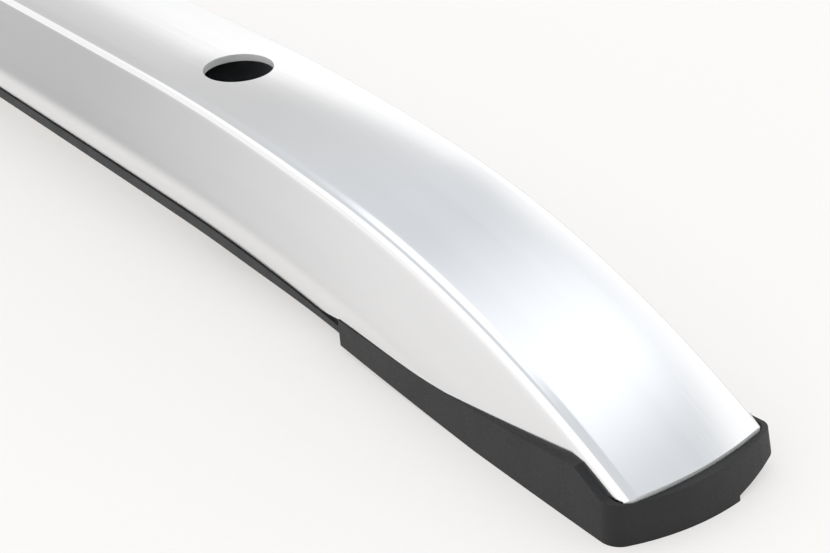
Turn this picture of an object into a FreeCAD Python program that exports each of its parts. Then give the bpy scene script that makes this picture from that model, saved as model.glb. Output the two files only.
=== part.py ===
import FreeCAD, Part
import math
import os

# Pair of roof rails, sizes in millimetres.
# X runs forward, Y to the left, Z up; the origin is midway between the rails, level with the feet.

# spacing of the pair
RAIL_SPACING = 1000.0

# path of a rail, from its middle towards its end; the radii are those of its top line
UNDER_HEIGHT = 25.1
ARCH_RADIUS = 20000.0
ARCH_LENGTH = 665.0
BENDS = ((825.0, 6.945), (285.0, 22.1))
END_TURN = 1.8

# rail section
RAIL_WIDTH = 45.0
RAIL_DEPTH = 46.7
WALL = 2.2
CORNER_RADIUS = 4.0
SIDE_DEPTH = 28.5
TUCK_INSET = 5.5
SKIRT = 9.8
WEB_THICK = 2.5
GROOVE_WIDTH = 2.0
RIB_THICK = 1.6
RIB_LENGTH = 5.0

# rail end: plan of the tongue and the cut for the foot, measured from the end of the last bend
TONGUE_REACH = 3.5
TONGUE_RADIUS = 110.0
TONGUE_CORNER = 6.0
TRIM_ARC = ((-112.4, 10.2), (-55.5, 11.8), (-12.4, 15.7))
TRIM_LEAD_SLOPE = 13.0
TONGUE_SLOPE = 27.0
FIT_GAP = 0.3

# moulded foot, measured from the end of the last bend
FOOT_START = -112.4
FOOT_START_HALF = 19.5
FOOT_MID = (-56.0, 22.9)
FOOT_OUTER_CORNER = (-0.2, -25.1)
FOOT_INNER_CORNER = (3.0, 25.6)
FOOT_NOSE = (7.0, 5.0)
FOOT_OUTER_RADIUS = 5.5
FOOT_INNER_RADIUS = 5.0
FOOT_RISE_START = -50.0
FOOT_RISE_SLOPE = 1.9
RIM_HEIGHT = 11.3
RELIEF_START = 8.5
RELIEF_STEP = 1.4
RELIEF_ANGLE = 12.0
POCKET_CEILING = 5.6
POCKET_WALL = 3.2
FOOT_RIB = 2.2
FOOT_RIBS_X = (-84.0, -58.0, -32.0)
PLUG_BACK = -64.0
PLUG_SLACK = 1.0
PLUG_WALL = 3.0
PLUG_FACETS = 3

# mounting points
HOLE_BACK = 182.6
HOLE_OFFSET = -0.6
ACCESS_DIAMETER = 21.0
BOLT_DIAMETER = 8.8
SEAT_GAP = 0.1
SPACER_LENGTH = 40.0
SPACER_CORNER = 2.5
PLATE_LENGTH = 42.0
PLATE_WIDTH = 28.0
PLATE_THICK = 5.0
PLATE_SQUARE = 9.2

# seal strips
STRIP_DROP = 4.8
STRIP_RECESS = 0.9
STRIP_NECK_RECESS = 2.1
STRIP_NECK_DROP = 0.8
STRIP_ROOT = 4.5
STRIP_CHAMFER = 1.2
STRIP_END_GAP = 0.8

# worked out from the sizes above
TOP_HEIGHT = UNDER_HEIGHT + RAIL_DEPTH
TUCK_HEIGHT = RAIL_DEPTH - SIDE_DEPTH
TUCK_RADIUS = (TUCK_HEIGHT ** 2 + TUCK_INSET ** 2) / (2 * TUCK_INSET)
WEB_TOP = RAIL_DEPTH - SKIRT
WEB_BOTTOM = WEB_TOP + WEB_THICK
HALF_WIDTH = RAIL_WIDTH / 2
ARCH_SWING = math.degrees(ARCH_LENGTH / ARCH_RADIUS)
STRIP_LOW = RAIL_DEPTH + STRIP_DROP
FAR = 200.0
ANGLE_STEP = 1e-9


def vec(x, y, z):
    return FreeCAD.Vector(x, y, z)


def mirror_x(shape):
    return shape.mirror(vec(0, 0, 0), vec(1, 0, 0))


def mirror_y(shape):
    return shape.mirror(vec(0, 0, 0), vec(0, 1, 0))


def line(a, b):
    return Part.LineSegment(a, b).toShape()


def arc(a, m, b):
    return Part.Arc(a, m, b).toShape()


def face_of(edges):
    return Part.Face(Part.Wire(Part.__sortEdges__(edges)))


def polygon(points):
    return Part.Face(Part.makePolygon(points + [points[0]]))


def block(x0, x1, y0, y1, z0, z1):
    return Part.makeBox(x1 - x0, y1 - y0, z1 - z0, vec(x0, y0, z0))


def rod(diameter, x, y, z0, z1):
    return Part.makeCylinder(diameter / 2, z1 - z0, vec(x, y, z0), vec(0, 0, 1))


def across(face, half):
    """Solid from a face in the X-Z plane, as thick as twice the half width, about y = 0."""
    face.translate(vec(0, -half, 0))
    return face.extrude(vec(0, 2 * half, 0))


# path of the rail

def path_stations():
    """Start point, start angle, radius and swing of the arch and each bend, and where the last one ends."""
    x, z, angle = 0.0, TOP_HEIGHT, 0.0
    stations = []
    for radius, turn in ((ARCH_RADIUS, ARCH_SWING),) + BENDS:
        stations.append((x, z, angle, radius, turn))
        a0 = math.radians(angle)
        a1 = math.radians(angle + turn)
        x += radius * (math.sin(a1) - math.sin(a0))
        z -= radius * (math.cos(a0) - math.cos(a1))
        angle += turn
    return stations, x, z, angle


STATIONS, TIP_X, TIP_Z, TIP_ANGLE = path_stations()


def path_point(angle, depth):
    """Point below the top line by a depth, where the path slopes down by an angle."""
    x, z, start, radius, turn = [s for s in STATIONS if s[2] <= angle][-1]
    a0 = math.radians(start)
    a = math.radians(angle)
    px = x + radius * (math.sin(a) - math.sin(a0))
    pz = z - radius * (math.cos(a0) - math.cos(a))
    return vec(px - depth * math.sin(a), 0, pz - depth * math.cos(a))


def angle_at(x, depth):
    """Slope of the path at a place along X, found by halving."""
    low, high = 0.0, TIP_ANGLE
    while high - low > ANGLE_STEP:
        middle = (low + high) / 2
        if path_point(middle, depth).x < x:
            low = middle
        else:
            high = middle
    return low


def height_at(x, depth):
    return path_point(angle_at(abs(x), depth), depth).z


def point_at(x, depth):
    return vec(x, 0, height_at(x, depth))


def swept(section, bends):
    """Carry a section face along the arch and the given number of bends at both ends."""
    centre = vec(0, 0, TOP_HEIGHT - ARCH_RADIUS)
    start = section.copy()
    start.translate(vec(0, 0, TOP_HEIGHT))
    start.rotate(centre, vec(0, 1, 0), -ARCH_SWING)
    bodies = [start.revolve(centre, vec(0, 1, 0), 2 * ARCH_SWING)]
    for x, z, angle, radius, turn in STATIONS[1:bends + 1]:
        piece = section.copy()
        piece.rotate(vec(0, 0, 0), vec(0, 1, 0), angle)
        piece.translate(vec(x, 0, z))
        a = math.radians(angle)
        pivot = vec(x - radius * math.sin(a), 0, z - radius * math.cos(a))
        past_tip = END_TURN if angle + turn == TIP_ANGLE else 0
        body = piece.revolve(pivot, vec(0, 1, 0), turn + past_tip)
        bodies += [body, mirror_x(body)]
    return bodies[0].fuse(bodies[1:])


# sections, drawn in the Y-Z plane with the top line at zero height

def tuck_y(inset, depth):
    """Half width of the curved lower side at a depth below the top line."""
    r = TUCK_RADIUS - inset
    return HALF_WIDTH - TUCK_RADIUS + math.sqrt(r ** 2 - (depth - SIDE_DEPTH) ** 2)


def both_sides(edges):
    return edges + [mirror_y(e) for e in edges]


def side_line(points):
    ends = [vec(0, y, -depth) for y, depth in points]
    return [line(a, b) for a, b in zip(ends, ends[1:])]


LIP_IN = tuck_y(WALL, RAIL_DEPTH)
LIP_OUT = tuck_y(0, RAIL_DEPTH)
RIB_OUT = LIP_IN - GROOVE_WIDTH
RIB_IN = RIB_OUT - RIB_THICK
WEB_HALF = tuck_y(WALL, WEB_TOP)


def rail_section():
    r = CORNER_RADIUS
    flat = HALF_WIDTH - r
    k = r * math.sqrt(0.5)
    middle = (SIDE_DEPTH + RAIL_DEPTH) / 2
    half = [arc(vec(0, flat, 0), vec(0, flat + k, k - r), vec(0, HALF_WIDTH, -r))]
    half += side_line([(HALF_WIDTH, r), (HALF_WIDTH, SIDE_DEPTH)])
    tuck = [(HALF_WIDTH, SIDE_DEPTH), (tuck_y(0, middle), middle), (LIP_OUT, RAIL_DEPTH)]
    half.append(arc(*[vec(0, y, -depth) for y, depth in tuck]))
    rib_low = WEB_BOTTOM + RIB_LENGTH
    half += side_line([(LIP_OUT, RAIL_DEPTH), (LIP_IN, RAIL_DEPTH), (tuck_y(WALL, WEB_BOTTOM), WEB_BOTTOM),
                       (RIB_OUT, WEB_BOTTOM), (RIB_OUT, rib_low), (RIB_IN, rib_low), (RIB_IN, WEB_BOTTOM)])
    outer = both_sides(half) + side_line([(-flat, 0), (flat, 0)])
    outer += side_line([(-RIB_IN, WEB_BOTTOM), (RIB_IN, WEB_BOTTOM)])
    side = HALF_WIDTH - WALL
    cavity = both_sides(side_line([(side, WALL), (side, SIDE_DEPTH), (WEB_HALF, WEB_TOP)]))
    cavity += side_line([(-side, WALL), (side, WALL)])
    cavity += side_line([(-WEB_HALF, WEB_TOP), (WEB_HALF, WEB_TOP)])
    return face_of(outer).cut(face_of(cavity)).Faces[0]


def strip_section():
    """Outboard strip: root in the groove, narrow neck, thicker lip below the rail."""
    outer = STRIP_RECESS - LIP_OUT
    neck = STRIP_NECK_RECESS - LIP_OUT
    neck_low = RAIL_DEPTH + STRIP_NECK_DROP
    root = RAIL_DEPTH - STRIP_ROOT
    c = STRIP_CHAMFER
    pts = [(outer, neck_low), (neck, neck_low), (neck, RAIL_DEPTH), (-LIP_IN, RAIL_DEPTH), (-LIP_IN, root),
           (-RIB_OUT, root), (-RIB_OUT, STRIP_LOW), (outer + c, STRIP_LOW), (outer, STRIP_LOW - c)]
    return polygon([vec(0, y, -depth) for y, depth in pts])


# cuts at the rail end

def below_trim():
    """Everything under the line along which the rail end is cut for the foot."""
    a, m, b = [vec(TIP_X + x, 0, z) for x, z in TRIM_ARC]
    drop = math.tan(math.radians(TONGUE_SLOPE))
    lead = math.tan(math.radians(TRIM_LEAD_SLOPE))
    c = vec(b.x + FAR, 0, b.z - FAR * drop)
    d = vec(c.x, 0, -FAR)
    e = vec(a.x - (a.z + FAR) / lead, 0, -FAR)
    return across(face_of([arc(a, m, b), line(b, c), line(c, d), line(d, e), line(e, a)]), FAR)


def tongue_plan(grow):
    """Upright block with the plan of the rail end, grown by a gap for the pocket in the foot."""
    half = HALF_WIDTH + grow
    r = TONGUE_RADIUS + grow
    nose = TIP_X + TONGUE_REACH + grow
    corner = nose - r + math.sqrt(r ** 2 - half ** 2)
    low = -FAR
    a, b = vec(corner, -half, low), vec(corner, half, low)
    c, d = vec(corner - FAR, half, low), vec(corner - FAR, -half, low)
    plan = face_of([arc(a, vec(nose, 0, low), b), line(b, c), line(c, d), line(d, a)])
    body = plan.extrude(vec(0, 0, 2 * FAR))
    upright = [e for e in body.Edges if e.BoundBox.ZLength > FAR and e.BoundBox.XMax > corner - FAR / 2]
    return body.makeFillet(TONGUE_CORNER + grow, upright)


HOLE_X = TIP_X - HOLE_BACK


def make_rail():
    rail = swept(rail_section(), len(BENDS))
    low = below_trim()
    end = block(TIP_X - RAIL_WIDTH, TIP_X + FAR, -FAR, FAR, -FAR, FAR).cut(tongue_plan(0))
    cuts = [low, mirror_x(low), end, mirror_x(end)]
    for x in (HOLE_X, 0, -HOLE_X):
        middle = height_at(x, (WALL + WEB_TOP) / 2)
        cuts.append(rod(ACCESS_DIAMETER, x, HOLE_OFFSET, middle, TOP_HEIGHT + WALL))
        cuts.append(rod(BOLT_DIAMETER, x, HOLE_OFFSET, middle - FAR, middle))
    return rail.cut(cuts).removeSplitter()


# moulded foot

def circle_through(a, m, b):
    circle = Part.Circle(a, m, b)
    return circle.Center, circle.Radius


def corner_arc(circle1, circle2, radius, corner):
    """Fillet inside two circles near their crossing: its two ends and its middle."""
    (c1, r1), (c2, r2) = circle1, circle2
    d1, d2 = r1 - radius, r2 - radius
    span = (c2 - c1).Length
    along = (d1 ** 2 - d2 ** 2 + span ** 2) / (2 * span)
    off = math.sqrt(d1 ** 2 - along ** 2)
    u = (c2 - c1) * (1 / span)
    n = vec(-u.y, u.x, 0)
    centres = [c1 + u * along + n * off, c1 + u * along - n * off]
    f = min(centres, key=lambda p: (p - corner).Length)
    t1 = c1 + (f - c1) * (r1 / d1)
    t2 = c2 + (f - c2) * (r2 / d2)
    out = (t1 + t2) * 0.5 - f
    return t1, f + out * (radius / out.Length), t2


def foot_plan():
    near = vec(TIP_X + FOOT_START, -FOOT_START_HALF, 0)
    far = vec(TIP_X + FOOT_START, FOOT_START_HALF, 0)
    near_mid = vec(TIP_X + FOOT_MID[0], -FOOT_MID[1], 0)
    far_mid = vec(TIP_X + FOOT_MID[0], FOOT_MID[1], 0)
    outer = vec(TIP_X + FOOT_OUTER_CORNER[0], FOOT_OUTER_CORNER[1], 0)
    inner = vec(TIP_X + FOOT_INNER_CORNER[0], FOOT_INNER_CORNER[1], 0)
    nose = vec(TIP_X + FOOT_NOSE[0], FOOT_NOSE[1], 0)
    front = circle_through(outer, nose, inner)
    a, am, b = corner_arc(circle_through(near, near_mid, outer), front, FOOT_OUTER_RADIUS, outer)
    d, dm, c = corner_arc(circle_through(far, far_mid, inner), front, FOOT_INNER_RADIUS, inner)
    edges = [arc(near, near_mid, a), arc(a, am, b), arc(b, nose, c), arc(c, dm, d), arc(d, far_mid, far)]
    return face_of(edges + [line(far, near)]).extrude(vec(0, 0, FAR))


def foot_rim():
    """Level lip in front of the rail end and round its corners."""
    back = TIP_X + TRIM_ARC[-1][0]
    return block(back, TIP_X + FAR, -FAR, FAR, -FAR, RIM_HEIGHT).cut(tongue_plan(FIT_GAP))


def foot_plug():
    """Block inside the rail end that holds it sideways and from below."""
    depth = WALL + PLUG_SLACK
    front = path_point(TIP_ANGLE, depth)
    back = TIP_X + PLUG_BACK
    step = (back - front.x) / PLUG_FACETS
    crest = [point_at(front.x + step * i, depth) for i in range(1, PLUG_FACETS + 1)]
    low = TRIM_ARC[0][1]
    body = across(polygon([front] + crest + [vec(back, 0, low), vec(front.x, 0, low)]), WEB_HALF - FIT_GAP)
    return body.cut(below_trim())


def plug_core():
    """Hollow that opens the plug from below, between two ribs of the foot."""
    depth = WALL + PLUG_SLACK + PLUG_WALL
    x0 = TIP_X + FOOT_RIBS_X[1] + FOOT_RIB / 2
    x1 = TIP_X + FOOT_RIBS_X[2] - FOOT_RIB / 2
    outline = [vec(x0, 0, -FAR), point_at(x0, depth), point_at(x1, depth), vec(x1, 0, -FAR)]
    return across(polygon(outline), WEB_HALF - FIT_GAP - PLUG_WALL)


def foot_pocket():
    """Ribbed hollow under the foot."""
    w = POCKET_WALL
    x0, y0 = TIP_X + FOOT_START + w, FOOT_START_HALF - w
    x1, y1 = TIP_X + FOOT_MID[0], FOOT_MID[1] - w
    x2, y2 = TIP_X - FOOT_OUTER_RADIUS, -FOOT_OUTER_CORNER[1] - w
    x3, y3 = TIP_X + FOOT_NOSE[0] - w, y2 - FOOT_OUTER_RADIUS - w
    side = [(x0, y0), (x1, y1), (x2, y2), (x3 - w, y3)]
    pts = [(x, -y) for x, y in side] + [(x3, 0)] + side[::-1]
    body = polygon([vec(x, y, -FAR) for x, y in pts]).extrude(vec(0, 0, POCKET_CEILING + FAR))
    t = FOOT_RIB / 2
    ribs = [block(TIP_X + x - t, TIP_X + x + t, -FAR, FAR, -FAR, FAR) for x in FOOT_RIBS_X]
    ribs.append(block(TIP_X - FAR, TIP_X + FAR, -t, t, -FAR, FAR))
    return body.cut(ribs)


def foot_relief():
    """Sloped cut under the inboard side, where the roof rises."""
    x0 = TIP_X - FAR
    rise = (FAR - RELIEF_START) * math.tan(math.radians(RELIEF_ANGLE))
    pts = [(RELIEF_START, -FAR), (RELIEF_START, RELIEF_STEP), (FAR, RELIEF_STEP + rise), (FAR, -FAR)]
    return polygon([vec(x0, y, z) for y, z in pts]).extrude(vec(2 * FAR, 0, 0))


def foot_rise():
    """Wedge under the back of the foot, where the roof rises towards its middle."""
    x0, x1 = TIP_X + FOOT_RISE_START, TIP_X - FAR
    rise = (x0 - x1) * math.tan(math.radians(FOOT_RISE_SLOPE))
    return across(polygon([vec(x0, 0, 0), vec(x1, 0, rise), vec(x1, 0, -FAR), vec(x0, 0, -FAR)]), FAR)


def make_front_foot():
    foot = foot_plan().common(below_trim().fuse(foot_rim())).fuse(foot_plug())
    return foot.cut([foot_relief(), foot_rise(), foot_pocket(), plug_core()]).removeSplitter()


# strips and mounting pieces

def make_strip():
    reach = TIP_X + FOOT_START - STRIP_END_GAP
    return swept(strip_section(), 1).common(block(-reach, reach, -FAR, FAR, -FAR, FAR)).removeSplitter()


def make_spacer(x):
    """Moulded spacer between the web and the roof, shaped to the rail's slope there."""
    x0, x1 = x - SPACER_LENGTH / 2, x + SPACER_LENGTH / 2
    top = WEB_BOTTOM + SEAT_GAP
    corners = [(x0, top), (x1, top), (x1, STRIP_LOW), (x0, STRIP_LOW)]
    body = across(polygon([point_at(*corner) for corner in corners]), RIB_IN - FIT_GAP)
    upright = [e for e in body.Edges if e.BoundBox.XLength + e.BoundBox.YLength < FIT_GAP]
    return body.makeChamfer(SPACER_CORNER, upright).cut(rod(BOLT_DIAMETER, x, HOLE_OFFSET, -FAR, FAR))


def make_plate(x):
    """Flat steel plate on the web, with a square hole that keeps a square-necked bolt from turning."""
    a = angle_at(x, WEB_TOP)
    seat = path_point(a, WEB_TOP - SEAT_GAP)
    body = block(-PLATE_LENGTH / 2, PLATE_LENGTH / 2, -PLATE_WIDTH / 2, PLATE_WIDTH / 2, 0, PLATE_THICK)
    body.rotate(vec(0, 0, 0), vec(0, 1, 0), a)
    body.translate(seat)
    half = PLATE_SQUARE / 2
    return body.cut(block(x - half, x + half, HOLE_OFFSET - half, HOLE_OFFSET + half, -FAR, FAR))


def one_rail():
    """Pieces of the right-hand rail about its own middle; outboard is towards -Y."""
    foot = make_front_foot()
    strip = make_strip()
    spacer = make_spacer(HOLE_X)
    plate = make_plate(HOLE_X)
    pieces = {"rail": make_rail(), "outer_strip": strip, "inner_strip": mirror_y(strip)}
    pieces.update(front_foot=foot, rear_foot=mirror_x(foot))
    pieces.update(front_spacer=spacer, centre_spacer=make_spacer(0), rear_spacer=mirror_x(spacer))
    pieces.update(front_plate=plate, centre_plate=make_plate(0), rear_plate=mirror_x(plate))
    return pieces


os.makedirs("parts", exist_ok=True)
for name, shape in one_rail().items():
    right = shape.copy()
    right.translate(vec(0, -RAIL_SPACING / 2, 0))
    right.exportStep("parts/right_" + name + ".step")
    mirror_y(right).exportStep("parts/left_" + name + ".step")
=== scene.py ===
import math

import bmesh
import bpy
from mathutils import Matrix


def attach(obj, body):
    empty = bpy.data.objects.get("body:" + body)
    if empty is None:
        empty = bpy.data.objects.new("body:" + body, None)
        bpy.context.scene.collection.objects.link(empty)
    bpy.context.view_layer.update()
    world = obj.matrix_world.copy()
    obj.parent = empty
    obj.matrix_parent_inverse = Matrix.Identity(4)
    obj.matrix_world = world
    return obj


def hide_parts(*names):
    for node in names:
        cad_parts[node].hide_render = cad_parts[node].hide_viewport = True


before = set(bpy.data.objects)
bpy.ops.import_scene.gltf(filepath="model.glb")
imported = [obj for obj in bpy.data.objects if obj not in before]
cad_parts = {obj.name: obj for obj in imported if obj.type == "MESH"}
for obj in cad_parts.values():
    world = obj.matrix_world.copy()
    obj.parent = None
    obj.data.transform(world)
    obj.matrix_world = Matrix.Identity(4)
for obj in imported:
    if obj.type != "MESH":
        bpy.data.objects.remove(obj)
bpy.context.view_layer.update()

# Lengths are in millimetres and angles in degrees; meshes are scaled to metres when they are placed.
MM = 0.001

# path of a rail
RAIL_SPACING = 1000.0
TOP_HEIGHT = 71.8
ARCH_RADIUS = 20000.0
ARCH_LENGTH = 665.0
BENDS = ((825.0, 6.945), (285.0, 22.1))
END_TURN = 1.8
PATH_STEPS = (34, 40, 64)
END_STEPS = 4

# rail section
HALF_WIDTH = 22.5
RAIL_DEPTH = 46.7
WALL = 2.2
CORNER_RADIUS = 4.0
CROWN_RADIUS = 285.0
SIDE_DEPTH = 28.5
TUCK_INSET = 5.5
TUCK_CREASE = 4.0
FLAT_GUARD = 0.4
SKIRT = 9.8
WEB_THICK = 2.5
GROOVE_WIDTH = 2.0
RIB_THICK = 1.6
RIB_LENGTH = 5.0
CORNER_STEPS = 14
TUCK_STEPS = 12
TOP_STEPS = 16

# rail end and mounting holes, measured from the end of the last bend
TONGUE_REACH = 3.5
TONGUE_RADIUS = 110.0
TONGUE_CORNER = 3.5
TRIM_ARC = ((-112.4, 10.2), (-55.5, 11.8), (-12.4, 15.7))
TRIM_LEAD_SLOPE = 13.0
TONGUE_SLOPE = 27.0
FIT_GAP = 0.3
HOLE_BACK = 182.6
HOLE_OFFSET = -0.6
ACCESS_RADIUS = 10.5
BOLT_RADIUS = 4.4
HOLE_CHAMFER = 0.15
HOLE_STEPS = 72

# moulded foot, measured from the end of the last bend
FOOT_START = -112.4
FOOT_START_HALF = 19.5
FOOT_MID = (-56.0, 22.9)
FOOT_OUTER_CORNER = (-0.2, -25.1)
FOOT_INNER_CORNER = (3.0, 25.6)
FOOT_NOSE = (7.0, 5.0)
FOOT_OUTER_RADIUS = 5.5
FOOT_INNER_RADIUS = 5.0
FOOT_TOP = 60.0
FOOT_LEAN = 8.0
LEAN_FROM_Y = -18.0
LEAN_BACK = (-40.0, -5.0)
FOOT_RISE_START = -50.0
FOOT_RISE_SLOPE = 1.9
RIM_HEIGHT = 11.3
RELIEF_START = 8.5
RELIEF_STEP = 1.4
RELIEF_ANGLE = 12.0
POCKET_CEILING = 5.6
POCKET_WALL = 3.2
FOOT_RIB = 2.2
FOOT_RIBS_X = (-84.0, -58.0, -32.0)
PLUG_BACK = -64.0
PLUG_SLACK = 1.0
PLUG_WALL = 3.0
PLUG_FACETS = 3
FOOT_EDGE = 0.5
FOOT_EDGE_STEPS = 3
ARC_STEPS = 24

# seal strips
STRIP_DROP = 4.8
STRIP_RECESS = 0.9
STRIP_NECK_RECESS = 2.3
STRIP_NECK_DROP = 2.0
STRIP_ROOT = 4.5
STRIP_CHAMFER = 0.7
STRIP_SAG = 1.7
STRIP_FADE = 60.0
STRIP_END_GAP = 0.8
STRIP_EDGE = 0.35
CUT_SHARE = 0.35
CUT_LIMIT = 0.45
STRIP_STEPS = 220

# camera, placed from the end of the right-hand rail's last bend
CAMERA_FROM_TIP = (197.78, -211.32, 214.65)
CAMERA_HEADING = 54.825
CAMERA_PITCH = 27.956
CAMERA_ROLL = -4.746
CAMERA_LENS = 66.683
SENSOR_WIDTH = 36.0
CAMERA_CLIP = 10.0

# floor; in reflections its glow is painted light and shade: it dims towards the rear along a slant
# (painted shade), but stays bright close beside the right-hand rail and turns whiter far outboard of it
# (painted light)
FLOOR_SIZE = 30000.0
FLOOR_GRAIN = (2.5, 2.5, 2.5)
FLOOR_COLOR = (0.8, 0.8, 0.8, 1)
FLOOR_SHADE = (0.46, 0.455, 0.452, 1)
FLOOR_TONES = ((0.99, 0.965, 0.938), (1.0, 0.977, 0.95))
FLOOR_GLOW = 0.528
FLOOR_SLANT = -1.57
FLOOR_REAR = (-270.0, 30.0)
FLOOR_BESIDE = (-24.0, -4.0)
FLOOR_FAR = (-120.0, -400.0)
# reflected glow of the floor: painted shade at its dimmest, its usual level, and painted light far
# outboard
FLOOR_PAINTED_SHADE = 0.2
FLOOR_BRIGHT = 0.58
FLOOR_PAINTED_LIGHT = 0.75

# room, drawn on a level plane one unit above the part: two panels in a ceiling between two white walls,
# all dimmer in front of the part
LOWEST_RISE = 0.05
WALL_LIGHT = (1.1, 1.3)
WALL_FADE = (-3.0, -1.8)
WALL_OUTBOARD = (-0.76, -0.92)
WALL_INBOARD = (0.89, 0.99)
WALL_SET_BACK = 0.13
WALL_TURN = (-0.45, -1.0)
CEILING_LIGHT = (0.7, 0.82)
CEILING_REAR = (-1.5, -0.75)
ROOM_FRONT = (0.8, 2.2)
FRONT_LIGHT = 0.5
PANEL_LIGHT = 0.55
PANEL_SKEW = -0.3
PANEL_MIDDLE = 0.75
MAIN_PANEL = ((-0.6, 0.0), (0.32, -0.01), (0.36, 0.46), (0.95, 0.83))
SIDE_PANEL = ((-0.8, -0.5), (0.12, -0.02), (-0.5, -0.3), (0.46, 0.36))
WALL_TINT = (1.0, 1.0, 1.0)
CEILING_TINT = (0.955, 0.985, 1.02)

# surfaces; the sizes of their noise run along the axes
NOISE_DETAIL = 3.0
NOISE_SPAN = (0.3, 0.7)
DIE_LINES = (240.0, 0.45, 1.0)
DIE_CLOUDS = (90.0, 14.0, 1.0)
GRAIN_CLOUDS = (11.0, 11.0, 11.0)
SPANGLE = (0.8, 0.8, 0.8)
SPANGLE_CLOUDS = (7.0, 7.0, 7.0)
SPANGLE_BUMP = 0.01
PLASTIC_SPECULAR = 0.36
SMOOTH_ANGLE = 32.0

# reach of the bodies that cut others
FAR = 200.0

# worked out from the sizes above
ARCH = (ARCH_RADIUS, math.degrees(ARCH_LENGTH / ARCH_RADIUS))
TUCK_HEIGHT = RAIL_DEPTH - SIDE_DEPTH
TUCK_RADIUS = (TUCK_HEIGHT ** 2 + TUCK_INSET ** 2) / (2 * TUCK_INSET)
WEB_TOP = RAIL_DEPTH - SKIRT
WEB_BOTTOM = WEB_TOP + WEB_THICK


# path and section of the rail

def spread(a, b, steps):
    """Evenly spaced values from one end to the other."""
    return [a + (b - a) * i / steps for i in range(steps + 1)]


def ramp(value, start, end):
    """Smooth step from 0 to 1 between two values."""
    t = min(max((value - start) / (end - start), 0), 1)
    return t * t * (3 - 2 * t)


def path_spans():
    """Start point, start slope, radius and turn of each span of the half rail; X and slope at its end."""
    x, z, slope = 0.0, TOP_HEIGHT, 0.0
    spans = []
    for radius, turn in (ARCH,) + BENDS:
        spans.append((x, z, slope, radius, turn))
        a, b = math.radians(slope), math.radians(slope + turn)
        x += radius * (math.sin(b) - math.sin(a))
        z -= radius * (math.cos(a) - math.cos(b))
        slope += turn
    return spans, x, slope


SPANS, TIP_X, TIP_SLOPE = path_spans()
HOLE_X = TIP_X - HOLE_BACK


def path_point(slope, depth):
    """Place in the X-Z plane under the top line by a depth, where the path slopes down by an angle."""
    x, z, start, radius, _ = [s for s in SPANS if s[2] <= abs(slope)][-1]
    a, b = math.radians(start), math.radians(abs(slope))
    px = x + (radius - depth) * math.sin(b) - radius * math.sin(a)
    pz = z - radius * math.cos(a) + (radius - depth) * math.cos(b)
    return math.copysign(px, slope), pz


def slope_at(x, depth):
    """Slope of the path at a place along X, measured at a depth below the top line."""
    for px, _, start, radius, _ in reversed(SPANS):
        sine = (abs(x) - px + radius * math.sin(math.radians(start))) / (radius - depth)
        if sine >= math.sin(math.radians(start)):
            break
    return math.copysign(math.degrees(math.asin(max(sine, 0))), x)


def height_at(x, depth):
    return path_point(slope_at(x, depth), depth)[1]


def rail_slopes():
    """Slopes of the path where the section is repeated, from the rear end to the front end."""
    half = []
    for (_, _, start, _, turn), steps in zip(SPANS, PATH_STEPS):
        half += [start + turn * i / steps for i in range(steps)]
    half += spread(TIP_SLOPE, TIP_SLOPE + END_TURN, END_STEPS)
    return [-s for s in half[:0:-1]] + half


def tuck_y(inset, depth):
    """Half width of the curved lower side at a depth below the top line."""
    r = TUCK_RADIUS - inset
    return HALF_WIDTH - TUCK_RADIUS + math.sqrt(r ** 2 - (depth - SIDE_DEPTH) ** 2)


def skin_y(depth):
    """Half width of the outer skin below the flat side, which turns in with a faint crease."""
    start = math.radians(TUCK_CREASE)
    chord = math.hypot(TUCK_HEIGHT, TUCK_INSET)
    r = chord / (2 * math.sin(math.atan2(TUCK_INSET, TUCK_HEIGHT) - start))
    drop = depth - SIDE_DEPTH + r * math.sin(start)
    return HALF_WIDTH - r * math.cos(start) + math.sqrt(r ** 2 - drop ** 2)


LIP_IN = tuck_y(WALL, RAIL_DEPTH)
LIP_OUT = tuck_y(0, RAIL_DEPTH)
RIB_OUT = LIP_IN - GROOVE_WIDTH
RIB_IN = RIB_OUT - RIB_THICK
WEB_HALF = tuck_y(WALL, WEB_TOP)


def mirrored(half):
    """Closed loop of a half profile that runs down the +Y side and its mirror image."""
    return half + [(-y, depth) for y, depth in reversed(half)]


def rail_loop():
    """Outside of the section: crowned top, round corners, flat then tucked sides, lips, strip grooves."""
    flat = HALF_WIDTH - CORNER_RADIUS
    tilt = math.asin(flat / (CROWN_RADIUS - CORNER_RADIUS))
    edge = flat + CORNER_RADIUS * math.sin(tilt)
    centre = CROWN_RADIUS - math.sqrt(CROWN_RADIUS ** 2 - edge ** 2) + CORNER_RADIUS * math.cos(tilt)
    half = []
    for y in spread(edge / TOP_STEPS, edge, TOP_STEPS)[:-1]:
        half.append((y, CROWN_RADIUS - math.sqrt(CROWN_RADIUS ** 2 - y ** 2)))
    for a in spread(tilt, math.pi / 2, CORNER_STEPS):
        half.append((flat + CORNER_RADIUS * math.sin(a), centre - CORNER_RADIUS * math.cos(a)))
    half += [(HALF_WIDTH, centre + FLAT_GUARD), (HALF_WIDTH, SIDE_DEPTH - FLAT_GUARD)]
    for depth in spread(SIDE_DEPTH, RAIL_DEPTH, TUCK_STEPS):
        half.append((skin_y(depth), depth))
    rib_low = WEB_BOTTOM + RIB_LENGTH
    half += [(LIP_IN, RAIL_DEPTH), (tuck_y(WALL, WEB_BOTTOM), WEB_BOTTOM), (RIB_OUT, WEB_BOTTOM),
             (RIB_OUT, rib_low), (RIB_IN, rib_low), (RIB_IN, WEB_BOTTOM)]
    return mirrored(half)


def cavity_loop():
    side = HALF_WIDTH - WALL
    return mirrored([(side, WALL), (side, SIDE_DEPTH), (WEB_HALF, WEB_TOP)])


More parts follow.
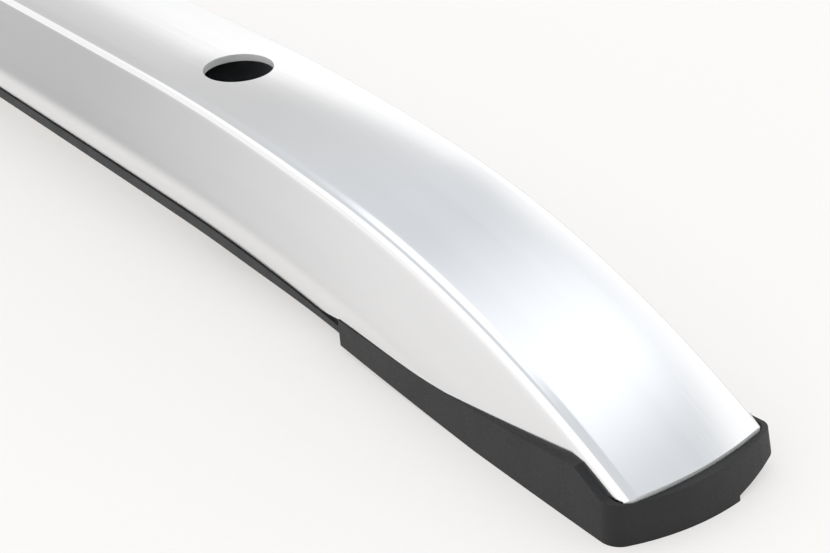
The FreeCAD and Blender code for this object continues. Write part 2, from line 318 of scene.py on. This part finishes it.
def rounded(loop, radius):
    """Cut each corner of a closed loop twice, to soften its edges; a cut takes under half a side."""
    out = []
    for before, (y, d), after in zip(loop[-1:] + loop[:-1], loop, loop[1:] + loop[:1]):
        for share, (py, pd) in ((1, before), (CUT_SHARE, before), (CUT_SHARE, after), (1, after)):
            length = math.hypot(py - y, pd - d)
            k = min(radius, CUT_LIMIT * length) * share / length
            out.append((y + (py - y) * k, d + (pd - d) * k))
    return out


def strip_loop(sag):
    """Outboard strip: root in the groove, narrow neck, thicker lip below the rail, lower by its sag."""
    outer = STRIP_RECESS - LIP_OUT
    neck = STRIP_NECK_RECESS - LIP_OUT
    neck_low = RAIL_DEPTH + STRIP_NECK_DROP
    root = RAIL_DEPTH - STRIP_ROOT
    low = RAIL_DEPTH + STRIP_DROP + sag
    loop = [(outer, neck_low), (neck, neck_low), (neck, RAIL_DEPTH),
            (-LIP_IN, RAIL_DEPTH), (-LIP_IN, root), (-RIB_OUT, root),
            (-RIB_OUT, low), (outer + STRIP_CHAMFER, low), (outer, low - STRIP_CHAMFER)]
    return rounded(loop, STRIP_EDGE)


# meshes

def add_object(name, mesh):
    obj = bpy.data.objects.new(name, mesh)
    bpy.context.scene.collection.objects.link(obj)
    return obj


def object_from(bm, name):
    """Object from a mesh in millimetres about the rail's own middle, with its faces turned outward."""
    bmesh.ops.recalc_face_normals(bm, faces=bm.faces)
    mesh = bpy.data.meshes.new(name)
    bm.to_mesh(mesh)
    bm.free()
    return add_object(name, mesh)


def tube(name, rings):
    """Closed tube through rings of points, with its length and girth in millimetres as its UV map."""
    bm = bmesh.new()
    uv = bm.loops.layers.uv.new("along")
    rows = [[bm.verts.new(p) for p in ring] for ring in rings]
    count = len(rings[0])
    girth = [0.0]
    for j in range(count):
        girth.append(girth[-1] + math.dist(rings[0][j], rings[0][(j + 1) % count]))
    length = 0.0
    for i in range(len(rows) - 1):
        ahead = length + math.dist(rings[i][0], rings[i + 1][0])
        for j in range(count):
            k = (j + 1) % count
            face = bm.faces.new((rows[i][j], rows[i + 1][j], rows[i + 1][k], rows[i][k]))
            places = ((length, girth[j]), (ahead, girth[j]), (ahead, girth[j + 1]), (length, girth[j + 1]))
            for corner, place in zip(face.loops, places):
                corner[uv].uv = place
        length = ahead
    bm.faces.new(rows[0])
    bm.faces.new(rows[-1])
    return object_from(bm, name)


def swept(name, loop, slopes):
    rings = []
    for slope in slopes:
        points = [path_point(slope, depth) for y, depth in loop]
        rings.append([(x, y, z) for (x, z), (y, depth) in zip(points, loop)])
    return tube(name, rings)


def prism(name, low, high):
    """Closed body between two outlines with the same number of points."""
    bm = bmesh.new()
    a = [bm.verts.new(p) for p in low]
    b = [bm.verts.new(p) for p in high]
    bm.faces.new(a)
    bm.faces.new(b)
    for i in range(len(a)):
        j = (i + 1) % len(a)
        bm.faces.new((a[i], a[j], b[j], b[i]))
    return object_from(bm, name)


def across(name, outline, half):
    """Body from an outline in the X-Z plane, as thick as twice the half width."""
    return prism(name, [(x, -half, z) for x, z in outline], [(x, half, z) for x, z in outline])


def upright(name, outline, low, high):
    """Body from an outline in the X-Y plane."""
    return prism(name, [(x, y, low) for x, y in outline], [(x, y, high) for x, y in outline])


def rectangle(a0, a1, b0, b1):
    """Outline between two values along one axis and two along another."""
    return [(a0, b0), (a1, b0), (a1, b1), (a0, b1)]


def apply_modifiers(obj):
    graph = bpy.context.evaluated_depsgraph_get()
    old = obj.data
    mesh = bpy.data.meshes.new_from_object(obj.evaluated_get(graph))
    obj.modifiers.clear()
    obj.data = mesh
    bpy.data.meshes.remove(old)


def combine(target, tools, operation):
    """Cut or join other bodies, which are used up."""
    for tool in tools:
        modifier = target.modifiers.new("combine", "BOOLEAN")
        modifier.operation = operation
        modifier.solver = "EXACT"
        modifier.object = tool
        apply_modifiers(target)
        bpy.data.meshes.remove(tool.data)


def mirror_mesh(mesh, axis):
    """Mirrored copy of a mesh, its faces still outward."""
    copy = mesh.copy()
    flip = Matrix.Identity(4)
    flip[axis][axis] = -1
    copy.transform(flip)
    copy.flip_normals()
    return copy


def circle_through(a, m, b):
    """Centre and radius of the circle through three points in a plane."""
    (ax, ay), (mx, my), (bx, by) = a, m, b
    d = 2 * (ax * (my - by) + mx * (by - ay) + bx * (ay - my))
    a2, m2, b2 = ax * ax + ay * ay, mx * mx + my * my, bx * bx + by * by
    cx = (a2 * (my - by) + m2 * (by - ay) + b2 * (ay - my)) / d
    cy = (a2 * (bx - mx) + m2 * (ax - bx) + b2 * (mx - ax)) / d
    return cx, cy, math.hypot(ax - cx, ay - cy)


def arc_points(a, m, b, steps):
    """Points on the circle through three points, from the first to the last."""
    cx, cy, r = circle_through(a, m, b)
    start = math.atan2(a[1] - cy, a[0] - cx)
    turn = math.remainder(math.atan2(b[1] - cy, b[0] - cx) - start, 2 * math.pi)
    return [(cx + r * math.cos(t), cy + r * math.sin(t)) for t in spread(start, start + turn, steps)]


# rail end and holes

def trim_line(ahead):
    """Line along which the rail end is cut, from behind the foot to a distance ahead of it."""
    a, m, b = [(TIP_X + x, z) for x, z in TRIM_ARC]
    lead = (a[0] - FAR, a[1] - FAR * math.tan(math.radians(TRIM_LEAD_SLOPE)))
    end = (b[0] + ahead, b[1] - ahead * math.tan(math.radians(TONGUE_SLOPE)))
    return [lead] + arc_points(a, m, b, ARC_STEPS) + [end]


def below_trim():
    line = trim_line(FAR)
    return across("below_trim", line + [(line[-1][0], -FAR), (line[0][0], -FAR)], FAR)


def above_trim():
    line = trim_line(FAR)
    return across("above_trim", line + [(line[-1][0], FAR), (line[0][0], FAR)], FAR)


def tongue_outline(grow):
    """Plan of the rail end from its outboard side round the nose to its inboard side."""
    half = HALF_WIDTH + grow
    r = TONGUE_RADIUS + grow
    corner = TONGUE_CORNER + grow
    centre = TIP_X + TONGUE_REACH + grow - r
    off = half - corner
    along = math.sqrt((r - corner) ** 2 - off ** 2)
    tilt = math.atan2(off, along)
    side = []
    for a in spread(math.pi / 2, tilt, CORNER_STEPS):
        side.append((centre + along + corner * math.cos(a), off + corner * math.sin(a)))
    for a in spread(tilt, 0, ARC_STEPS)[1:]:
        side.append((centre + r * math.cos(a), r * math.sin(a)))
    return [(x, -y) for x, y in side] + side[-2::-1]


def beyond_end():
    """Everything in front of the rail's rounded end."""
    outline = tongue_outline(0)
    back = outline[0][0]
    clear = HALF_WIDTH + WALL
    edge = [(back, -clear), (back, clear)]
    front = [(TIP_X + FAR, clear), (TIP_X + FAR, -clear)]
    return upright("beyond_end", [edge[0]] + outline + [edge[1]] + front, -FAR, FAR)


def lathe(name, x, z, slope, profile):
    """Closed round body about an axis square to a slope, from pairs of radius and height."""
    tilt = Matrix.Translation((x, HOLE_OFFSET, z)) @ Matrix.Rotation(math.radians(slope), 4, "Y")
    bm = bmesh.new()
    turns = [2 * math.pi * i / HOLE_STEPS for i in range(HOLE_STEPS)]
    rows = [[bm.verts.new((r * math.cos(a), r * math.sin(a), h)) for a in turns] for r, h in profile]
    for low, high in zip(rows, rows[1:]):
        for i in range(HOLE_STEPS):
            j = (i + 1) % HOLE_STEPS
            bm.faces.new((low[i], low[j], high[j], high[i]))
    bm.faces.new(rows[0])
    bm.faces.new(rows[-1])
    bmesh.ops.transform(bm, matrix=tilt, verts=bm.verts)
    return object_from(bm, name)


def hole_tools(x):
    """Access hole through the top skin with a broken edge, and bolt hole through the web."""
    middle = height_at(x, (WALL + WEB_TOP) / 2)
    top = height_at(x, 0)
    c = HOLE_CHAMFER
    access = lathe("access", x, 0, 0, [(ACCESS_RADIUS, middle), (ACCESS_RADIUS, top + WALL)])
    bolt = lathe("bolt", x, 0, 0, [(BOLT_RADIUS, middle - FAR), (BOLT_RADIUS, middle)])
    edge = lathe("edge", x, top, slope_at(x, 0),
                 [(ACCESS_RADIUS - c, -2 * c), (ACCESS_RADIUS + 2 * c, c)])
    return [access, bolt, edge]


RAIL_SLOTS = ("rail_aluminium", "rail_inside", "rail_cut")


def make_rail():
    rail = swept("right_rail_body", rail_loop(), rail_slopes())
    slopes = rail_slopes()
    slopes[0] -= END_TURN / 2
    slopes[-1] += END_TURN / 2
    cavity = swept("cavity", cavity_loop(), slopes)
    tools = [cavity]
    for cut in (below_trim(), beyond_end()):
        tools += [cut, add_object("rear_cut", mirror_mesh(cut.data, 0))]
    for x in (HOLE_X, 0.0, -HOLE_X):
        tools += hole_tools(x)
    for obj in [rail] + tools:
        for slot in RAIL_SLOTS:
            obj.data.materials.append(MATERIALS[slot])
    for tool in tools:
        slot = "rail_inside" if tool is cavity else "rail_cut"
        for face in tool.data.polygons:
            face.material_index = RAIL_SLOTS.index(slot)
    combine(rail, tools, "DIFFERENCE")
    return rail


def make_strip():
    """Strip whose lip follows the roof, so that it hangs lower between the feet than beside them."""
    reach = TIP_X + FOOT_START - STRIP_END_GAP
    rings = []
    for x in spread(-reach, reach, STRIP_STEPS):
        loop = strip_loop(STRIP_SAG * ramp(reach - abs(x), 0, STRIP_FADE))
        rings.append([(x, y, height_at(x, depth)) for y, depth in loop])
    strip = tube("right_outer_strip_body", rings)
    strip.data.materials.append(MATERIALS["seal_rubber"])
    return strip


# moulded foot

def corner_arc(circle1, circle2, radius, corner):
    """Fillet inside two circles near their crossing: its two ends and its middle."""
    (x1, y1, r1), (x2, y2, r2) = circle1, circle2
    d1, d2 = r1 - radius, r2 - radius
    span = math.hypot(x2 - x1, y2 - y1)
    along = (d1 ** 2 - d2 ** 2 + span ** 2) / (2 * span)
    off = math.sqrt(d1 ** 2 - along ** 2)
    ux, uy = (x2 - x1) / span, (y2 - y1) / span
    centres = [(x1 + ux * along - uy * s, y1 + uy * along + ux * s) for s in (off, -off)]
    fx, fy = min(centres, key=lambda p: math.dist(p, corner))
    t1 = (x1 + (fx - x1) * r1 / d1, y1 + (fy - y1) * r1 / d1)
    t2 = (x2 + (fx - x2) * r2 / d2, y2 + (fy - y2) * r2 / d2)
    ox, oy = (t1[0] + t2[0]) / 2 - fx, (t1[1] + t2[1]) / 2 - fy
    k = radius / math.hypot(ox, oy)
    return t1, (fx + ox * k, fy + oy * k), t2


def foot_outline():
    near = (TIP_X + FOOT_START, -FOOT_START_HALF)
    far = (TIP_X + FOOT_START, FOOT_START_HALF)
    near_mid = (TIP_X + FOOT_MID[0], -FOOT_MID[1])
    far_mid = (TIP_X + FOOT_MID[0], FOOT_MID[1])
    outer = (TIP_X + FOOT_OUTER_CORNER[0], FOOT_OUTER_CORNER[1])
    inner = (TIP_X + FOOT_INNER_CORNER[0], FOOT_INNER_CORNER[1])
    nose = (TIP_X + FOOT_NOSE[0], FOOT_NOSE[1])
    front = circle_through(outer, nose, inner)
    a, am, b = corner_arc(circle_through(near, near_mid, outer), front, FOOT_OUTER_RADIUS, outer)
    d, dm, c = corner_arc(circle_through(far, far_mid, inner), front, FOOT_INNER_RADIUS, inner)
    outline = []
    for ends in ((near, near_mid, a), (a, am, b), (b, nose, c), (c, dm, d), (d, far_mid, far)):
        outline += arc_points(*ends, ARC_STEPS)[:-1]
    return outline + [far]


def foot_block():
    """Plan of the foot drawn up, with walls that lean in towards the front inboard corner."""
    outline = foot_outline()
    lean = FOOT_TOP * math.tan(math.radians(FOOT_LEAN))
    top = []
    for i, (x, y) in enumerate(outline):
        (ax, ay), (bx, by) = outline[i - 1], outline[(i + 1) % len(outline)]
        span = math.dist((ax, ay), (bx, by))
        share = ramp(y, LEAN_FROM_Y, FOOT_INNER_CORNER[1])
        share *= ramp(x - TIP_X, *LEAN_BACK)
        top.append((x - lean * share * (by - ay) / span, y + lean * share * (bx - ax) / span))
    low = [(x, y, 0) for x, y in outline]
    high = [(x, y, FOOT_TOP) for x, y in top]
    return prism("right_front_foot_body", low, high)


def rim_space():
    """Space of the level lip in front of the rail end and round its corners."""
    back = TIP_X + TRIM_ARC[-1][0]
    space = across("rim_space", rectangle(back, TIP_X + FAR, -FAR, RIM_HEIGHT), FAR)
    outline = tongue_outline(FIT_GAP)
    behind = [(TIP_X - FAR, outline[-1][1]), (TIP_X - FAR, outline[0][1])]
    combine(space, [upright("tongue_space", outline + behind, -2 * FAR, FAR)], "DIFFERENCE")
    return space


def foot_plug():
    """Block inside the rail end that holds it sideways and from below."""
    depth = WALL + PLUG_SLACK
    front = path_point(TIP_SLOPE, depth)
    back = TIP_X + PLUG_BACK
    crest = [(x, height_at(x, depth)) for x in spread(front[0], back, PLUG_FACETS)[1:]]
    low = TRIM_ARC[0][1]
    return across("plug", [front] + crest + [(back, low), (front[0], low)], WEB_HALF - FIT_GAP)


def plug_core():
    """Hollow that opens the plug from below, between two ribs of the foot."""
    depth = WALL + PLUG_SLACK + PLUG_WALL
    x0 = TIP_X + FOOT_RIBS_X[1] + FOOT_RIB / 2
    x1 = TIP_X + FOOT_RIBS_X[2] - FOOT_RIB / 2
    outline = [(x0, -FAR), (x0, height_at(x0, depth)), (x1, height_at(x1, depth)), (x1, -FAR)]
    return across("core", outline, WEB_HALF - FIT_GAP - PLUG_WALL)


def foot_pocket():
    """Ribbed hollow under the foot."""
    w = POCKET_WALL
    side = [(TIP_X + FOOT_START + w, FOOT_START_HALF - w), (TIP_X + FOOT_MID[0], FOOT_MID[1] - w),
            (TIP_X - FOOT_OUTER_RADIUS, -FOOT_OUTER_CORNER[1] - w)]
    nose = TIP_X + FOOT_NOSE[0] - w
    side.append((nose - w, side[-1][1] - FOOT_OUTER_RADIUS - w))
    outline = [(x, -y) for x, y in side] + [(nose, 0)] + side[::-1]
    pocket = upright("pocket", outline, -FAR, POCKET_CEILING)
    t = FOOT_RIB / 2
    reach = FAR / 2
    ribs = [rectangle(TIP_X + x - t, TIP_X + x + t, -reach, reach) for x in FOOT_RIBS_X]
    ribs.append(rectangle(TIP_X - FAR, TIP_X + FAR, -t, t))
    combine(pocket, [upright("rib", rib, -2 * FAR, FAR) for rib in ribs], "DIFFERENCE")
    return pocket


def foot_relief():
    """Sloped cut under the inboard side, where the roof rises."""
    rise = (FAR - RELIEF_START) * math.tan(math.radians(RELIEF_ANGLE))
    outline = [(RELIEF_START, -FAR), (RELIEF_START, RELIEF_STEP), (FAR, RELIEF_STEP + rise), (FAR, -FAR)]
    back = [(TIP_X - FAR, y, z) for y, z in outline]
    front = [(TIP_X + FAR, y, z) for y, z in outline]
    return prism("relief", back, front)


def foot_rise():
    """Wedge under the back of the foot, where the roof rises towards its middle."""
    x0, x1 = TIP_X + FOOT_RISE_START, TIP_X - FAR
    rise = (x0 - x1) * math.tan(math.radians(FOOT_RISE_SLOPE))
    return across("rise", [(x0, 0), (x1, rise), (x1, -FAR), (x0, -FAR)], FAR)


def make_foot():
    foot = foot_block()
    above = above_trim()
    combine(above, [rim_space()], "DIFFERENCE")
    combine(foot, [above], "DIFFERENCE")
    combine(foot, [foot_plug()], "UNION")
    combine(foot, [foot_relief(), foot_rise(), foot_pocket(), plug_core()], "DIFFERENCE")
    foot.data.materials.clear()
    foot.data.materials.append(MATERIALS["foot_plastic"])
    bevel = foot.modifiers.new("edges", "BEVEL")
    bevel.width = FOOT_EDGE
    bevel.segments = FOOT_EDGE_STEPS
    bevel.limit_method = "ANGLE"
    bevel.angle_limit = math.radians(SMOOTH_ANGLE)
    apply_modifiers(foot)
    return foot


# materials

def new_material(name):
    material = bpy.data.materials.new(name)
    material.use_nodes = True
    return material, material.node_tree, material.node_tree.nodes["Principled BSDF"]


def set_input(tree, socket, value):
    """Link a socket to a node's output, or give it a value."""
    if isinstance(value, bpy.types.NodeSocket):
        tree.links.new(value, socket)
    else:
        socket.default_value = value


def node(tree, kind, **inputs):
    """Shader node with some of its inputs set or linked."""
    made = tree.nodes.new("ShaderNode" + kind)
    for name, value in inputs.items():
        set_input(tree, made.inputs[name.replace("_", " ")], value)
    return made


def math_node(tree, operation, a, b):
    """Result of a sum on two values."""
    made = node(tree, "Math")
    made.operation = operation
    set_input(tree, made.inputs[0], a)
    set_input(tree, made.inputs[1], b)
    return made.outputs[0]


def map_range(tree, value, start, end, low, high):
    """Node that carries a value from one range over to another."""
    return node(tree, "MapRange", Value=value, From_Min=start, From_Max=end, To_Min=low, To_Max=high)


def step(tree, value, start, end, low=0.0, high=1.0):
    """Smooth step of a value between two ends."""
    made = map_range(tree, value, start, end, low, high)
    made.interpolation_type = "SMOOTHSTEP"
    return made.outputs[0]


def spots(tree, stretch, place):
    """Noise over a place in millimetres, drawn out by a size for each axis."""
    scaled = node(tree, "VectorMath")
    scaled.operation = "DIVIDE"
    set_input(tree, scaled.inputs[0], place)
    set_input(tree, scaled.inputs[1], stretch)
    return node(tree, "TexNoise", Vector=scaled.outputs[0], Scale=1.0, Detail=NOISE_DETAIL).outputs["Fac"]


def in_range(tree, value, low, high):
    """Noise turned into a range of values."""
    return map_range(tree, value, *NOISE_SPAN, low, high).outputs[0]


def blend_color(tree, share, a, b):
    """Colour between two by a share."""
    mix = tree.nodes.new("ShaderNodeMix")
    mix.data_type = "RGBA"
    tree.links.new(share, mix.inputs["Factor"])
    mix.inputs["A"].default_value = (*a, 1)
    mix.inputs["B"].default_value = (*b, 1)
    return mix.outputs["Result"]


def object_place(tree):
    """Place on the part in millimetres."""
    scaled = node(tree, "VectorMath")
    scaled.operation = "SCALE"
    set_input(tree, scaled.inputs[0], node(tree, "TexCoord").outputs["Object"])
    set_input(tree, scaled.inputs["Scale"], 1 / MM)
    return scaled.outputs[0]


def length_place(tree):
    """Length along the rail and girth round it, in millimetres."""
    uv = tree.nodes.new("ShaderNodeUVMap")
    uv.uv_map = "along"
    return uv.outputs[0]


def set_finish(tree, shader, colors, tint, roughness, grain, bump):
    """Colour between two tones, roughness between two values, and a fine bump of a height."""
    set_input(tree, shader.inputs["Base Color"], blend_color(tree, tint, *colors))
    set_input(tree, shader.inputs["Roughness"], in_range(tree, grain, *roughness))
    relief = node(tree, "Bump", Strength=1.0, Distance=bump * MM, Height=grain)
    set_input(tree, shader.inputs["Normal"], relief.outputs[0])


def extruded(name, colors, roughness, bump, metallic):
    """Drawn metal with faint lengthwise die lines."""
    material, tree, shader = new_material(name)
    shader.inputs["Metallic"].default_value = metallic
    place = length_place(tree)
    lines = spots(tree, DIE_LINES, place)
    clouds = in_range(tree, spots(tree, DIE_CLOUDS, place), 0, 1)
    set_finish(tree, shader, colors, clouds, roughness, lines, bump)
    return material


def moulded(name, colors, roughness, grain, bump):
    """Plastic or rubber with a fine moulded grain and faint cloudy patches."""
    material, tree, shader = new_material(name)
    shader.inputs["Specular IOR Level"].default_value = PLASTIC_SPECULAR
    place = object_place(tree)
    specks = spots(tree, (grain, grain, grain), place)
    clouds = in_range(tree, spots(tree, GRAIN_CLOUDS, place), 0, 1)
    set_finish(tree, shader, colors, clouds, roughness, specks, bump)
    return material


def plated(name, colors, roughness, metallic):
    """Bare or zinc-plated metal with cloudy patches and a fine spangle."""
    material, tree, shader = new_material(name)
    shader.inputs["Metallic"].default_value = metallic
    place = object_place(tree)
    spangle = spots(tree, SPANGLE, place)
    clouds = in_range(tree, spots(tree, SPANGLE_CLOUDS, place), 0, 1)
    set_finish(tree, shader, colors, clouds, roughness, spangle, SPANGLE_BUMP)
    return material


MATERIALS = {
    "rail_aluminium": extruded("anodised_aluminium", colors=((0.81, 0.81, 0.815), (0.84, 0.84, 0.845)),
                               roughness=(0.13, 0.18), bump=0.0006, metallic=1.0),
    "rail_inside": extruded("extruded_inside", colors=((0.5, 0.51, 0.53), (0.6, 0.61, 0.63)),
                            roughness=(0.5, 0.7), bump=0.01, metallic=0.2),
    "rail_cut": plated("machined_edge", colors=((0.86, 0.86, 0.85), (0.94, 0.94, 0.93)),
                       roughness=(0.4, 0.55), metallic=0.3),
    "foot_plastic": moulded("moulded_plastic", colors=((0.0105, 0.0105, 0.0115), (0.016, 0.016, 0.0165)),
                            roughness=(0.42, 0.58), grain=0.4, bump=0.03),
    "seal_rubber": moulded("seal_rubber", colors=((0.03, 0.03, 0.033), (0.05, 0.05, 0.052)),
                           roughness=(0.5, 0.66), grain=0.3, bump=0.02),
    "spacer_plastic": moulded("spacer_plastic", colors=((0.045, 0.045, 0.047), (0.055, 0.055, 0.058)),
                              roughness=(0.45, 0.6), grain=0.5, bump=0.03),
    "plate_steel": plated("zinc_plated_steel", colors=((0.54, 0.55, 0.57), (0.6, 0.58, 0.5)),
                          roughness=(0.28, 0.42), metallic=1.0),
}


# pieces of the pair

def place_piece(mesh, name):
    """Move a mesh from the rail's own frame, in millimetres, to where a node of the frame stands."""
    piece = add_object(name + "_body", mesh)
    side = -1 if name.startswith("right") else 1
    mesh.transform(Matrix.Translation((0, side * RAIL_SPACING / 2, 0)))
    mesh.transform(Matrix.Scale(MM, 4))
    mesh.shade_smooth()
    mesh.set_sharp_from_angle(angle=math.radians(SMOOTH_ANGLE))
    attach(piece, "root")
    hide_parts(name)


def add_pair(name, mesh):
    """Right-hand piece and its mirror image on the left."""
    other = mirror_mesh(mesh, 1)
    place_piece(mesh, "right_" + name)
    place_piece(other, "left_" + name)


def take_mesh(obj):
    mesh = obj.data
    bpy.data.objects.remove(obj)
    return mesh


def add_rails():
    add_pair("rail", take_mesh(make_rail()))
    strip = take_mesh(make_strip())
    add_pair("inner_strip", mirror_mesh(strip, 1))
    add_pair("outer_strip", strip)
    foot = take_mesh(make_foot())
    add_pair("rear_foot", mirror_mesh(foot, 0))
    add_pair("front_foot", foot)


def dress_nodes():
    """Finishes of the spacers and plates, the only solids that are seen."""
    for name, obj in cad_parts.items():
        slot = "plate_steel" if name.endswith("plate") else "spacer_plastic"
        obj.data.materials.clear()
        obj.data.materials.append(MATERIALS[slot])


# camera, floor and light

def add_camera():
    data = bpy.data.cameras.new("camera")
    data.lens = CAMERA_LENS
    data.sensor_width = SENSOR_WIDTH
    data.clip_start = MM * CAMERA_CLIP
    camera = add_object("camera", data)
    dx, dy, z = CAMERA_FROM_TIP
    camera.location = [MM * v for v in (TIP_X + dx, dy - RAIL_SPACING / 2, z)]
    turn = Matrix.Rotation(math.radians(CAMERA_HEADING), 3, "Z")
    turn @= Matrix.Rotation(math.radians(90 - CAMERA_PITCH), 3, "X")
    turn @= Matrix.Rotation(math.radians(CAMERA_ROLL), 3, "Z")
    camera.rotation_euler = turn.to_euler()
    bpy.context.scene.camera = camera


def seen(tree):
    """1 for what the camera, a reflection or glass sees, 0 for light that falls on something."""
    path = node(tree, "LightPath")
    most = path.outputs["Is Camera Ray"]
    for kind in ("Is Glossy Ray", "Is Transmission Ray"):
        most = math_node(tree, "MAXIMUM", most, path.outputs[kind])
    return most


def floor_glow(tree):
    """Glow of the floor: even to the camera; in reflections dimmed by its place, a painted shade, and
    whiter far outboard, a painted light.
    """
    x, y, _ = node(tree, "SeparateXYZ", Vector=object_place(tree)).outputs
    place = math_node(tree, "ADD", x, math_node(tree, "MULTIPLY", y, FLOOR_SLANT))
    here = TIP_X - FLOOR_SLANT * RAIL_SPACING / 2
    # painted shade: the reflected glow dims to the rear of the rail along a slant
    ahead = step(tree, place, here + FLOOR_REAR[0], here + FLOOR_REAR[1], FLOOR_PAINTED_SHADE, FLOOR_BRIGHT)
    side = -RAIL_SPACING / 2 - HALF_WIDTH
    # kept bright close beside the right-hand rail in reflections
    beside = step(tree, y, side + FLOOR_BESIDE[0], side + FLOOR_BESIDE[1], 0, FLOOR_BRIGHT)
    # painted light: whiter reflected glow far outboard of the rail
    far = step(tree, y, side + FLOOR_FAR[0], side + FLOOR_FAR[1], 0, FLOOR_PAINTED_LIGHT)
    dimmed = math_node(tree, "MAXIMUM", math_node(tree, "MAXIMUM", ahead, beside), far)
    direct = node(tree, "LightPath").outputs["Is Camera Ray"]
    even = math_node(tree, "MULTIPLY", direct, FLOOR_GLOW)
    hidden = math_node(tree, "SUBTRACT", 1.0, direct)
    return math_node(tree, "ADD", even, math_node(tree, "MULTIPLY", dimmed, hidden))


def floor_material():
    """Pale matt surface that is seen nearly white, with soft shadows left in it."""
    material = bpy.data.materials.new("floor")
    material.use_nodes = True
    tree = material.node_tree
    tree.nodes.clear()
    grain = spots(tree, FLOOR_GRAIN, object_place(tree))
    tone = blend_color(tree, in_range(tree, grain, 0, 1), *FLOOR_TONES)
    lit = node(tree, "BsdfDiffuse", Color=FLOOR_COLOR)
    shaded = node(tree, "BsdfDiffuse", Color=FLOOR_SHADE)
    glow = node(tree, "Emission", Color=tone, Strength=floor_glow(tree))
    pale = node(tree, "AddShader")
    set_input(tree, pale.inputs[0], shaded.outputs[0])
    set_input(tree, pale.inputs[1], glow.outputs[0])
    mix = node(tree, "MixShader")
    set_input(tree, mix.inputs[0], seen(tree))
    set_input(tree, mix.inputs[1], lit.outputs[0])
    set_input(tree, mix.inputs[2], pale.outputs[0])
    node(tree, "OutputMaterial", Surface=mix.outputs[0])
    return material


def add_floor():
    bpy.ops.mesh.primitive_plane_add(size=MM * FLOOR_SIZE)
    floor = bpy.context.object
    floor.name = "floor"
    floor.data.materials.append(floor_material())


def patch(tree, u, v, rear, front, outboard, inboard):
    """Soft-edged rectangle on the level plane."""
    along = math_node(tree, "MULTIPLY", step(tree, u, *rear), step(tree, u, *front))
    beside = math_node(tree, "MULTIPLY", step(tree, v, *outboard), step(tree, v, *inboard))
    return math_node(tree, "MULTIPLY", along, beside)


def room_walls(tree, u, v):
    """Share of white wall at a place on the level plane."""
    inboard = math_node(tree, "SUBTRACT", v, step(tree, u, *WALL_TURN, 0.0, WALL_SET_BACK))
    return math_node(tree, "MAXIMUM", step(tree, v, *WALL_OUTBOARD), step(tree, inboard, *WALL_INBOARD))


def room_panels(tree, u, v):
    """Share of bright panel at a place on the level plane, where the main panel is skewed."""
    offset = math_node(tree, "MULTIPLY", math_node(tree, "SUBTRACT", v, PANEL_MIDDLE), PANEL_SKEW)
    main = patch(tree, math_node(tree, "SUBTRACT", u, offset), v, *MAIN_PANEL)
    return math_node(tree, "MAXIMUM", main, patch(tree, u, v, *SIDE_PANEL))


def add_world():
    """Ceiling with two bright panels between two white walls along the rails."""
    world = bpy.data.worlds.new("studio")
    bpy.context.scene.world = world
    world.use_nodes = True
    tree = world.node_tree
    back = tree.nodes["Background"]
    x, y, z = node(tree, "SeparateXYZ", Vector=node(tree, "TexCoord").outputs["Generated"]).outputs
    up = math_node(tree, "MAXIMUM", z, LOWEST_RISE)
    u = math_node(tree, "DIVIDE", x, up)
    v = math_node(tree, "DIVIDE", y, up)
    wall = room_walls(tree, u, v)
    open_part = math_node(tree, "SUBTRACT", 1.0, wall)
    panels = math_node(tree, "MULTIPLY", room_panels(tree, u, v), PANEL_LIGHT)
    above = math_node(tree, "ADD", step(tree, u, *CEILING_REAR, *CEILING_LIGHT), panels)
    beside = math_node(tree, "MULTIPLY", wall, step(tree, u, *WALL_FADE, *WALL_LIGHT))
    level = math_node(tree, "ADD", math_node(tree, "MULTIPLY", above, open_part), beside)
    level = math_node(tree, "MULTIPLY", level, step(tree, u, *ROOM_FRONT, 1.0, FRONT_LIGHT))
    direct = node(tree, "LightPath").outputs["Is Camera Ray"]
    set_input(tree, back.inputs["Strength"], math_node(tree, "MAXIMUM", level, direct))
    tint = math_node(tree, "MULTIPLY", open_part, step(tree, u, *CEILING_REAR))
    set_input(tree, back.inputs["Color"], blend_color(tree, tint, WALL_TINT, CEILING_TINT))


add_rails()
dress_nodes()
add_camera()
add_floor()
add_world()
bpy.context.scene.view_settings.view_transform = "Standard"
